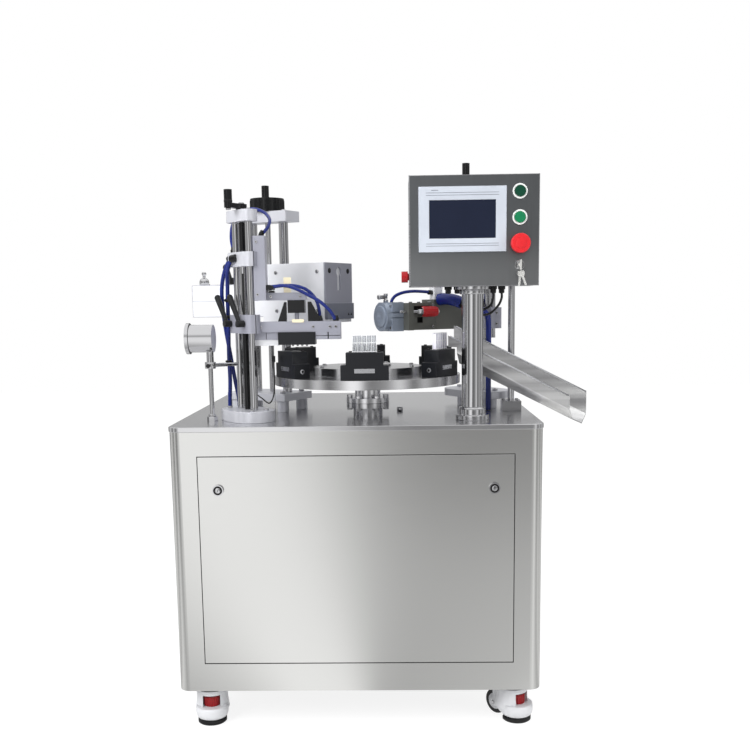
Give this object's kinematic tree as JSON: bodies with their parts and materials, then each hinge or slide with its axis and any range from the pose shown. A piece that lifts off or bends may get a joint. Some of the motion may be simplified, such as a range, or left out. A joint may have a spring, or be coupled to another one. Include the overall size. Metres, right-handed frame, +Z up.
{
  "type": "tube filling machine",
  "caption": "Stainless cabinet on levelling casters with an indexing turntable, filling, sealing and trimming stations, discharge chute and a control box on a post.",
  "frame": {"origin": "on the floor, under the middle of the machine's outline", "axes": "+Z up, +X to the operator's right when facing the front panel, +Y towards the back"},
  "size_m": [1.029, 0.882, 1.3635],
  "materials": {
    "stainless": "satin brushed",
    "table_steel": "fine brushed",
    "polished_steel": "polished",
    "frame_paint": "matt",
    "black_metal": "satin black",
    "fixture_black": "black anodised",
    "grey_metal": "grey anodised",
    "dark_metal": "dark anodised",
    "cylinder_alu": "light anodised",
    "white_paint": "satin",
    "box_paint": "brushed dark grey",
    "gear_paint": "painted",
    "plate_zinc": "zinc",
    "clear_tube": "clear plastic",
    "black_plastic": "matt",
    "white_plastic": "matt",
    "bezel_plastic": "satin",
    "red_plastic": "gloss",
    "dark_green": "gloss",
    "green": "gloss",
    "hose_blue": "satin",
    "tyre_black": "matt",
    "key_metal": "plated"
  },
  "bodies": {
    "cabinet": {"cabinet_shell": "stainless", "table_top": "table_steel", "bottom_frame": "frame_paint", "rear_panel": "stainless", "cable_gland": "black_plastic", "caster_plates": "black_metal", "index_drive": "gear_paint", "valve_plate": "plate_zinc", "spindle_flange": "table_steel", "guide_columns": "polished_steel", "column_top_plates": "stainless", "station_bases": "stainless", "hood_post": "stainless", "chute": "polished_steel", "chute_post": "polished_steel", "control_post": "stainless", "box_body": "box_paint"},
    "front_panel": {"front_panel": "stainless"},
    "panel_lock_left": {"panel_lock_left": "polished_steel"},
    "panel_lock_right": {"panel_lock_right": "polished_steel"},
    "caster_front_left": {"caster_fork_front_left": "white_plastic"},
    "wheel_front_left": {"caster_wheel_front_left": "tyre_black"},
    "caster_front_right": {"caster_fork_front_right": "white_plastic"},
    "wheel_front_right": {"caster_wheel_front_right": "tyre_black"},
    "caster_back_left": {"caster_fork_back_left": "white_plastic"},
    "wheel_back_left": {"caster_wheel_back_left": "tyre_black"},
    "caster_back_right": {"caster_fork_back_right": "white_plastic"},
    "wheel_back_right": {"caster_wheel_back_right": "tyre_black"},
    "turntable": {"turntable_disc": "table_steel", "tube_fixtures": "fixture_black", "tube_strips": "clear_tube"},
    "fill_carriage": {"fill_carriage": "grey_metal", "fill_press": "black_metal", "fill_hoses": "hose_blue", "loop_hose": "hose_blue"},
    "fill_head": {"fill_arm": "grey_metal", "fill_nozzle_block": "black_plastic", "head_hoses": "hose_blue"},
    "fill_crank": {"fill_crank": "black_plastic"},
    "fill_lever_left": {"fill_lever_left": "black_plastic"},
    "fill_lever_right": {"fill_lever_right": "black_plastic"},
    "weld_head": {"weld_housing": "white_paint", "weld_end_plate": "grey_metal", "weld_horn": "polished_steel"},
    "weld_wheel": {"weld_handwheel": "black_plastic"},
    "weld_lever": {"weld_lever": "black_plastic"},
    "hood": {"hood_can": "polished_steel"},
    "cut_head": {"cut_carriage": "dark_metal", "cut_cylinder": "cylinder_alu", "cutter_hoses": "hose_blue"},
    "cut_crank": {"cut_crank": "black_plastic"},
    "cut_knob": {"cut_knob": "red_plastic"},
    "box_door": {"box_door": "box_paint", "hmi_panel": "bezel_plastic", "button_bezels": "white_plastic"},
    "start_button": {"start_button": "dark_green"},
    "run_button": {"run_button": "green"},
    "stop_button": {"stop_button": "red_plastic"},
    "lock_key": {"lock_key": "key_metal"},
    "side_button": {"side_button": "red_plastic"}
  },
  "joints": [
    {"name": "panel_tilt", "type": "hinge", "parent": "cabinet", "child": "front_panel", "pos_m": [-0.0615, -0.435, 0.164], "axis": [1, 0, 0], "range_deg": [0, 60]},
    {"name": "lock_left_turn", "type": "hinge", "parent": "front_panel", "child": "panel_lock_left", "pos_m": [-0.383, -0.435, 0.586], "axis": [0, 1, 0], "range_deg": [0, 90]},
    {"name": "lock_right_turn", "type": "hinge", "parent": "front_panel", "child": "panel_lock_right", "pos_m": [0.26, -0.435, 0.586], "axis": [0, -1, 0], "range_deg": [0, 90]},
    {"name": "swivel_front_left", "type": "hinge", "parent": "cabinet", "child": "caster_front_left", "pos_m": [-0.4285, -0.367, 0.087], "axis": [0, 0, 1], "continuous": true},
    {"name": "roll_front_left", "type": "hinge", "parent": "caster_front_left", "child": "wheel_front_left", "pos_m": [-0.43205, -0.33319, 0.031], "axis": [-0.9945, -0.1045, 0], "continuous": true},
    {"name": "swivel_front_right", "type": "hinge", "parent": "cabinet", "child": "caster_front_right", "pos_m": [0.3055, -0.367, 0.087], "axis": [0, 0, 1], "continuous": true},
    {"name": "roll_front_right", "type": "hinge", "parent": "caster_front_right", "child": "wheel_front_right", "pos_m": [0.28275, -0.34173, 0.031], "axis": [-0.7431, -0.6691, 0], "continuous": true},
    {"name": "swivel_back_left", "type": "hinge", "parent": "cabinet", "child": "caster_back_left", "pos_m": [-0.4285, 0.347, 0.087], "axis": [0, 0, 1], "continuous": true},
    {"name": "roll_back_left", "type": "hinge", "parent": "caster_back_left", "child": "wheel_back_left", "pos_m": [-0.4115, 0.37644, 0.031], "axis": [-0.866, 0.5, 0], "continuous": true},
    {"name": "swivel_back_right", "type": "hinge", "parent": "cabinet", "child": "caster_back_right", "pos_m": [0.3055, 0.347, 0.087], "axis": [0, 0, 1], "continuous": true},
    {"name": "roll_back_right", "type": "hinge", "parent": "caster_back_right", "child": "wheel_back_right", "pos_m": [0.29387, 0.37895, 0.031], "axis": [-0.9397, -0.342, 0], "continuous": true},
    {"name": "index_turn", "type": "hinge", "parent": "cabinet", "child": "turntable", "pos_m": [-0.0375, -0.202, 0.815], "axis": [0, 0, 1], "range_deg": [-40, 220]},
    {"name": "fill_height", "type": "slide", "parent": "cabinet", "child": "fill_carriage", "axis": [0, 0, 1], "range_m": [0, 0.03], "deforming": ["fill_hoses"]},
    {"name": "fill_stroke", "type": "slide", "parent": "fill_carriage", "child": "fill_head", "axis": [0, 0, 1], "range_m": [0, 0.019], "deforming": ["head_hoses"]},
    {"name": "fill_crank_turn", "type": "hinge", "parent": "cabinet", "child": "fill_crank", "pos_m": [-0.3275, -0.299, 1.233], "axis": [0, 0, 1], "range_deg": [-1, 2710]},
    {"name": "fill_lever_left_turn", "type": "hinge", "parent": "fill_head", "child": "fill_lever_left", "pos_m": [-0.36458, -0.28453, 0.968], "axis": [-0.809, -0.5878, 0], "range_deg": [0, 40]},
    {"name": "fill_lever_right_turn", "type": "hinge", "parent": "fill_head", "child": "fill_lever_right", "pos_m": [-0.3252, -0.33874, 0.968], "axis": [-0.809, -0.5878, 0], "range_deg": [-60, 0]},
    {"name": "weld_height", "type": "slide", "parent": "cabinet", "child": "weld_head", "axis": [0, 0, 1], "range_m": [0, 0.06]},
    {"name": "weld_wheel_turn", "type": "hinge", "parent": "cabinet", "child": "weld_wheel", "pos_m": [-0.29731, -0.052, 1.25], "axis": [0, 0, 1], "range_deg": [-1, 5410]},
    {"name": "weld_lever_turn", "type": "hinge", "parent": "weld_head", "child": "weld_lever", "pos_m": [-0.40324, -0.02548, 1.066], "axis": [0, 0, 1], "range_deg": [-60, 60]},
    {"name": "hood_swivel", "type": "hinge", "parent": "cabinet", "child": "hood", "pos_m": [-0.4115, -0.319, 0.892], "axis": [0, 0, 1], "range_deg": [-45, 45]},
    {"name": "cut_height", "type": "slide", "parent": "cabinet", "child": "cut_head", "axis": [0, 0, 1], "range_m": [0, 0.06]},
    {"name": "cut_crank_turn", "type": "hinge", "parent": "cabinet", "child": "cut_crank", "pos_m": [0.25089, -0.0355, 1.319], "axis": [0, 0, 1], "range_deg": [-1, 5410]},
    {"name": "cut_knob_slide", "type": "slide", "parent": "cut_head", "child": "cut_knob", "axis": [0.866, 0.5, 0], "range_m": [-0.02, 0]},
    {"name": "box_door_swing", "type": "hinge", "parent": "cabinet", "child": "box_door", "pos_m": [0.0675, -0.3695, 1.174], "axis": [0, 0, -1], "range_deg": [0, 110]},
    {"name": "start_button_press", "type": "slide", "parent": "box_door", "child": "start_button", "axis": [0, 1, 0], "range_m": [0, 0.003], "stiffness_N_per_m": 400},
    {"name": "run_button_press", "type": "slide", "parent": "box_door", "child": "run_button", "axis": [0, 1, 0], "range_m": [0, 0.003], "stiffness_N_per_m": 400},
    {"name": "stop_button_press", "type": "slide", "parent": "box_door", "child": "stop_button", "axis": [0, 1, 0], "range_m": [0, 0.003], "stiffness_N_per_m": 400},
    {"name": "lock_key_turn", "type": "hinge", "parent": "box_door", "child": "lock_key", "pos_m": [0.3205, -0.377, 1.095], "axis": [0, 1, 0], "range_deg": [0, 90]},
    {"name": "side_button_press", "type": "slide", "parent": "cabinet", "child": "side_button", "axis": [1, 0, 0], "range_m": [0, 0.003], "stiffness_N_per_m": 400}
  ],
  "couplings": [
    {"joint": "fill_crank_turn", "follows": "fill_height", "rad_per_m": 1570.8},
    {"joint": "weld_wheel_turn", "follows": "weld_height", "rad_per_m": 1570.8},
    {"joint": "cut_crank_turn", "follows": "cut_height", "rad_per_m": 1570.8}
  ]
}
